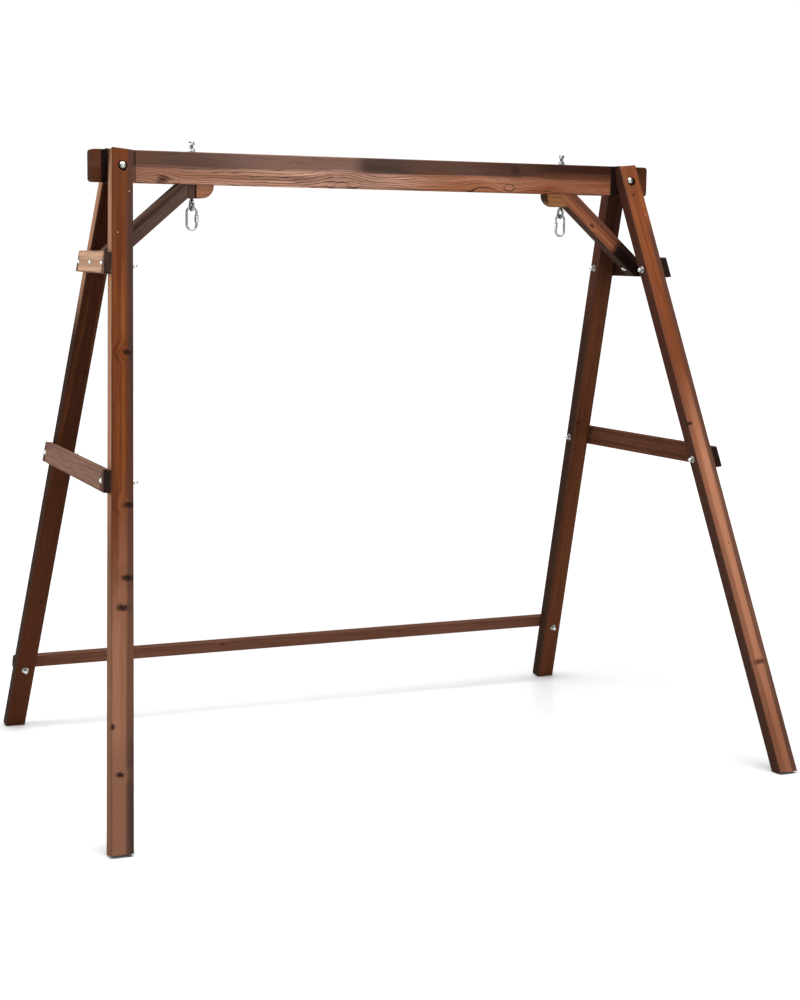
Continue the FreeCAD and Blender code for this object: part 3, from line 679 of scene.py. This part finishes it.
# %% Legs
# painted shade: a dark disc in the counterbore round each top bolt's head
BOLT_RECESS_SHADE = (0.008, 0.0, 0.0135, CHAR_AND_SHADE)
for (row, hand), look in LEG_LOOKS.items():
    side = SIDES[hand]
    forward = -1 if row == "front" else 1
    spots = [BOLT_RECESS_SHADE] + look.pop("spots", [])
    down_leg = along_frame(side, (0, forward * math.sin(RAKE), -math.cos(RAKE)))
    leg_finish = charred_fir(
        row + "_leg_" + hand + "_fir", in_frame(side, (0, forward * LEG_OFFSET, 0)), down_leg, FRONT,
        LEG_HALF, pith=(0.006, -0.055), ring_width=0.0060, wander=0.008, ripple=0.0015, late_share=0.35,
        amber=AMBER[row], amber_share=0.45, spots=spots, **look)
    finish_node(row + "_leg_" + hand, leg_finish)

# %% [markdown]
# The side braces are thin boards with scorched edges, and their tone is partly
# painted light: the left braces' outer faces are pale, almost sandy, where the
# left box and its sheen light them, and the right braces are dark with painted
# shade. Their grain runs from the back leg to the front leg. The torch left
# smoky patches rather than lines.

# %% Side braces
BRACE_OUT = 0.041                   # middle of a brace's thickness from the frame's middle plane
BRACE_DARK = 0.38                   # its dark tone, as a share of the pale one
BRACES = {                          # below the top bolt, half the length, tone on each side
    # the left tone is partly painted light and the right tone partly painted shade
    "upper_brace": (0.269, 0.145, {"left": (0.400, 0.240, 0.155), "right": (0.026, 0.010, 0.006)}),
    "middle_brace": (0.839, 0.350, {"left": (0.160, 0.088, 0.062), "right": (0.086, 0.031, 0.016)})}
for piece, (drop, reach, tones) in BRACES.items():
    for hand, side in SIDES.items():
        pale = tones[hand]
        brace_finish = charred_fir(
            piece + "_" + hand + "_fir", in_frame(side, (BRACE_OUT, 0, -drop)),
            along_frame(side, (0, -1, 0)), (-1, 0, 0), (reach, 0.030, 0.0105), pale=pale,
            dark=tuple(v * BRACE_DARK for v in pale), pith=(0.02, -0.06), ring_width=0.0075,
            ripple=0.006, late_share=0.40, edge_share=0.8, end_share=0.95,
            seed=57.0 + 9 * side + 40 * drop)
        finish_node(piece + "_" + hand, brace_finish)

# %% [markdown]
# The low rail is a slim batten, reddish and evenly charred. It sits square
# to the raked legs, so its own front face leans back.

# %% Back rail
low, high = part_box("back_rail")
rail_middle = (low + high) / 2
rail_half = ((high - low).x / 2, 0.020, 0.010)
rail_front = (0, -math.cos(RAKE), math.sin(RAKE))
RAIL_SMOKE = {"Middle": 0.012, "Reach": 0.008, "Softness": 0.006, "Smoke": rgba(SMOKE), "Share": 0.5}
rail_finish = charred_fir(
    "rail_fir", rail_middle, (1, 0, 0), rail_front, rail_half, pale=(0.130, 0.054, 0.033),
    dark=(0.060, 0.024, 0.014), pith=(0.004, -0.04), late_share=0.35, band=RAIL_SMOKE,
    knots=[knot(-0.28, 0.0, 0.005), knot(0.36, -0.006, 0.005)], seed=71.0)
finish_node("back_rail", rail_finish)

# %% [markdown]
# Each knee is a sloping strut and a short block with a rounded nose, where
# the eye bolt comes through. The struts are reddish on the right and grey on
# the left, with a dark band, and their undersides are darkened with painted
# shade.

# %% Knee struts
STRUT_SLOPE = math.radians(40.7)
STRUT_HALF = (0.26, 0.0235, 0.0215)
# painted shade on the faces of a strut that turn downward
UNDERSIDE_SHADE = (0.030, 0.016, 0.011)
STRUT_SMOKE = rgba((0.045, 0.020, 0.013))
LOW_BAND = {"Middle": -0.022, "Reach": 0.009, "Softness": 0.006, "Smoke": STRUT_SMOKE, "Share": 0.6}
HIGH_BAND = {"Middle": 0.026, "Reach": 0.004, "Softness": 0.004, "Smoke": rgba(CHAR_AND_SHADE), "Share": 0.75}
STRUT_LOOKS = {
    "right": dict(pale=(0.215, 0.070, 0.036), dark=(0.085, 0.030, 0.017), seed=84.0, band=LOW_BAND,
                  amber=(0.280, 0.110, 0.045), amber_share=0.5,
                  knots=[knot(-0.043, 0.004, 0.006, outline=0.0)],
                  stretches=[stretch(0.045, 0.085, (0.010, 0.005, 0.004), 1.4)]),
    "left": dict(pale=(0.092, 0.056, 0.042), dark=(0.045, 0.027, 0.020), seed=82.0, band=HIGH_BAND)}
for hand, side in SIDES.items():
    low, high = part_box("knee_strut_" + hand)
    strut_grain = (math.cos(STRUT_SLOPE), 0, -side * math.sin(STRUT_SLOPE))
    strut_finish = charred_fir(
        "knee_strut_" + hand + "_fir", (low + high) / 2, strut_grain, FRONT, STRUT_HALF,
        pith=(0.03, -0.05), wander=0.015, late_share=0.5, side=(UNDERSIDE_SHADE, UNDERSIDE_SHADE, 0.0),
        **STRUT_LOOKS[hand])
    finish_node("knee_strut_" + hand, strut_finish)
    print("  its middle is at", tuple(round(v, 3) for v in (low + high) / 2))

# %% [markdown]
# The blocks are the palest wood on the stand, and their rounded end grain
# drank the most stain. On the left one the strut's notch shows as a brown
# strip, with a dark line of painted shade along each of its edges.

# %% Knee blocks
NOTCH_BROWN = (0.060, 0.034, 0.024)
OLIVE = (0.060, 0.046, 0.016)
BLOCK_DARK = 0.45                   # its dark tone, as a share of the pale one
BLOCK_LOOKS = {
    "right": dict(pale=(0.205, 0.090, 0.034), stretches=[stretch(0.015, 0.045, OLIVE, 0.6)]),
    "left": dict(pale=(0.250, 0.108, 0.056), stretches=[stretch(-0.013, -0.015, NOTCH_BROWN, 1.4)],
                 # painted shade: dark lines along the notch's edges
                 shade_stripes=[(-0.0145, 0.0012), (-0.0375, 0.0020)])}
for hand, side in SIDES.items():
    low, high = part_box("knee_block_" + hand)
    block_finish = charred_fir(
        "knee_block_" + hand + "_fir", (low + high) / 2, (1, 0, 0), FRONT, (high - low) / 2,
        dark=tuple(v * BLOCK_DARK for v in BLOCK_LOOKS[hand]["pale"]), pith=(-0.03, -0.05),
        late_share=0.5, edge_share=0.6, seed=91.0 + side, **BLOCK_LOOKS[hand])
    finish_node("knee_block_" + hand, block_finish)

# %% [markdown]
# The hardware is bright zinc plate over steel. Zinc dries in faint patches
# and picks up fine scuffs, which show as small changes of tone and of
# roughness. The links and eyes carry load and are duller.

# %% Zinc plate
PLATE_ROUGHNESS = (0.20, 0.42)
zinc_group, given, result = new_group(
    "zinc_plate", {"Vector": ORIGIN, "Bright": GREY, "Dull": GREY},
    {"Color": "Color", "Roughness": "Float", "Height": "Float"})
tree = zinc_group
patches = stretched_noise(tree, given["Vector"], (260.0, 260.0, 260.0), detail=3.0)["Fac"]
scuffs = stretched_noise(tree, given["Vector"], (900.0, 900.0, 2600.0), (4, 4, 4))["Fac"]
plate_colour = blend_colour(tree, ramp(tree, patches, 0.35, 0.65), given["Bright"], given["Dull"])
tree.links.new(plate_colour, result["Color"])
tree.links.new(ramp(tree, scuffs, 0.30, 0.70, *PLATE_ROUGHNESS), result["Roughness"])
tree.links.new(scuffs, result["Height"])
print("made", zinc_group.name)

# %% Zinc finishes
def zinc(name, bright, dull):
    """Zinc-plated steel in two tones."""
    material = bpy.data.materials.new(name)
    material.use_nodes = True
    tree = material.node_tree
    shader = tree.nodes["Principled BSDF"]
    place = add_node(tree, "ShaderNodeTexCoord").outputs["Object"]
    tones = {"Bright": rgba(bright), "Dull": rgba(dull)}
    plate = use_group(tree, zinc_group, {"Vector": place, **tones})
    shader.inputs["Metallic"].default_value = 1.0
    tree.links.new(plate["Color"], shader.inputs["Base Color"])
    tree.links.new(plate["Roughness"], shader.inputs["Roughness"])
    scuffed = {"Height": plate["Height"], "Strength": 0.15, "Distance": 0.0002}
    tree.links.new(add_node(tree, "ShaderNodeBump", scuffed).outputs[0], shader.inputs["Normal"])
    return material


bright_zinc = zinc("bright_zinc", (0.62, 0.62, 0.60), (0.36, 0.36, 0.35))
link_zinc = zinc("link_zinc", (0.46, 0.47, 0.48), (0.22, 0.225, 0.23))
eye_zinc = zinc("eye_zinc", (0.30, 0.31, 0.32), (0.13, 0.135, 0.14))
STEEL = {"quick_link": link_zinc, "eye_bolt": eye_zinc}
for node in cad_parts:
    if any(word in node for word in ("bolt", "washer", "nut", "link")):
        chosen = next((steel for start, steel in STEEL.items() if node.startswith(start)), bright_zinc)
        finish_node(node, chosen)

# %% [markdown]
# The bare end of an eye bolt's shank shows between its nut and its cap nut.
# Its rolled thread is a triangle wound round the shank: the triangle's three
# edges are spun with a small climb, and the two open ends are filled.

# %% Eye bolt threads
SHANK_RADIUS, PITCH = 0.0050, 0.0015
CREST, ROOT = 0.0003, -0.0001       # how far the thread stands out of the shank and sinks into it
FLANK = 0.40 * PITCH                # half the width of the thread at its root
GAP_BELOW, GAP_ABOVE = 0.0008, 0.0006                   # to the nut and to the cap nut
STEPS_PER_TURN = 32
thread_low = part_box("eye_bolt_nuts")[1].z + GAP_BELOW
thread_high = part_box("eye_bolt_cap_nuts")[0].z - GAP_ABOVE
thread_length = thread_high - thread_low
turns = thread_length / PITCH
steps = round(turns * STEPS_PER_TURN)
profile = ((SHANK_RADIUS + ROOT, -FLANK), (SHANK_RADIUS + CREST, 0.0), (SHANK_RADIUS + ROOT, FLANK))
for hand in sorted(SIDES):
    name = "eye_bolt_thread_" + hand
    low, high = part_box("eye_bolt_" + hand)
    hook_x = (low.x + high.x) / 2
    shape = bmesh.new()
    corners = [shape.verts.new((hook_x + out, 0, thread_low + up)) for out, up in profile]
    edges = [shape.edges.new((corners[i], corners[(i + 1) % 3])) for i in range(3)]
    bmesh.ops.spin(shape, geom=corners + edges, cent=(hook_x, 0, 0), axis=(0, 0, 1),
                   angle=2 * math.pi * turns, dvec=(0, 0, thread_length / steps), steps=steps,
                   use_merge=False, use_duplicate=False)
    open_ends = [edge for edge in shape.edges if edge.is_boundary]
    bmesh.ops.holes_fill(shape, edges=open_ends, sides=3)
    bmesh.ops.recalc_face_normals(shape, faces=shape.faces)
    open_edges = sum(not edge.is_manifold for edge in shape.edges)
    mesh = bpy.data.meshes.new(name)
    shape.to_mesh(mesh)
    shape.free()
    thread = bpy.data.objects.new(name, mesh)
    bpy.context.scene.collection.objects.link(thread)
    mesh.materials.append(eye_zinc)
    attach(thread, "frame")
    print(name, len(mesh.polygons), "faces,", open_edges, "open edges")

# %% [markdown]
# The studio floor is pale and has a faint polish, so each foot leaves a soft
# shadow and a blurred reflection. Far from the stand it fades to the same
# white as the backdrop, so that no horizon shows.

# %% Floor
FLOOR_REACH = 14.0
FADE_START, FADE_END = 1.1, 3.0     # from the middle of the stand
WHITE_OUT = 1.04                    # a little over white, so the far floor has no edge
FLOOR_POLISH = 0.20
floor_mesh = bpy.data.meshes.new("floor")
shape = bmesh.new()
bmesh.ops.create_circle(shape, cap_ends=True, segments=96, radius=FLOOR_REACH)
shape.to_mesh(floor_mesh)
shape.free()
floor = bpy.data.objects.new("floor", floor_mesh)
bpy.context.scene.collection.objects.link(floor)
paint = bpy.data.materials.new("floor_paint")
paint.use_nodes = True
tree = paint.node_tree
shader = tree.nodes["Principled BSDF"]
floor_place = add_node(tree, "ShaderNodeTexCoord").outputs["Object"]
mottle = stretched_noise(tree, floor_place, (1.5, 1.5, 1.5))["Fac"]
fade = ramp(tree, span(tree, "LENGTH", floor_place), FADE_START, FADE_END)
pale_floor = blend_colour(tree, mottle, rgba((0.71, 0.71, 0.71)), rgba((0.73, 0.73, 0.73)))
black, white = rgba((0, 0, 0)), rgba((WHITE_OUT,) * 3)
tree.links.new(blend_colour(tree, fade, pale_floor, black), shader.inputs["Base Color"])
tree.links.new(blend_colour(tree, fade, black, white), shader.inputs["Emission Color"])
shader.inputs["Emission Strength"].default_value = 1.0
shader.inputs["Roughness"].default_value = FLOOR_POLISH
shader.inputs["Specular IOR Level"].default_value = 0.5
floor_mesh.materials.append(paint)
print("floor reaches", FLOOR_REACH, "m")

# %% [markdown]
# The light: a wide soft box overhead, a tall one close to the left end and a
# gentle fill from the front. The left box is near, so its light falls off
# quickly and the far frame stays darker.

# %% Lights
def soft_box(name, place, target, size, power):
    """A rectangular soft light that faces its target."""
    lamp = bpy.data.lights.new(name, "AREA")
    lamp.shape = "RECTANGLE"
    lamp.size, lamp.size_y = size
    lamp.energy = power
    box = bpy.data.objects.new(name, lamp)
    box.location = place
    box.rotation_euler = (Vector(target) - Vector(place)).to_track_quat("-Z", "Y").to_euler()
    bpy.context.scene.collection.objects.link(box)


soft_box("overhead_light", (0.0, -0.4, 5.0), (0, 0, 0), (4.2, 3.4), 500.0)
soft_box("left_light", (-3.4, 0.6, 1.5), (-0.9, 0, 1.0), (1.4, 2.2), 70.0)
soft_box("front_light", (1.0, -6.0, 3.0), (0, 0, 0.8), (3.0, 2.5), 110.0)

# %% Room light and backdrop
AIR_GLOW = 0.30            # what the room adds to every surface
BACKDROP_GLOW = 1.05       # what the camera sees behind the stand
world = bpy.data.worlds.new("studio_air")
world.use_nodes = True
bpy.context.scene.world = world
tree = world.node_tree
background = tree.nodes["Background"]
seen = add_node(tree, "ShaderNodeLightPath").outputs["Is Camera Ray"]
glow = ramp(tree, seen, 0.0, 1.0, AIR_GLOW, BACKDROP_GLOW)
tree.links.new(glow, background.inputs["Strength"])
background.inputs["Color"].default_value = (1, 1, 1, 1)
bpy.context.scene.view_settings.view_transform = "Standard"
print("room glow", AIR_GLOW, "backdrop", BACKDROP_GLOW)

# %% End
print("end of scene")
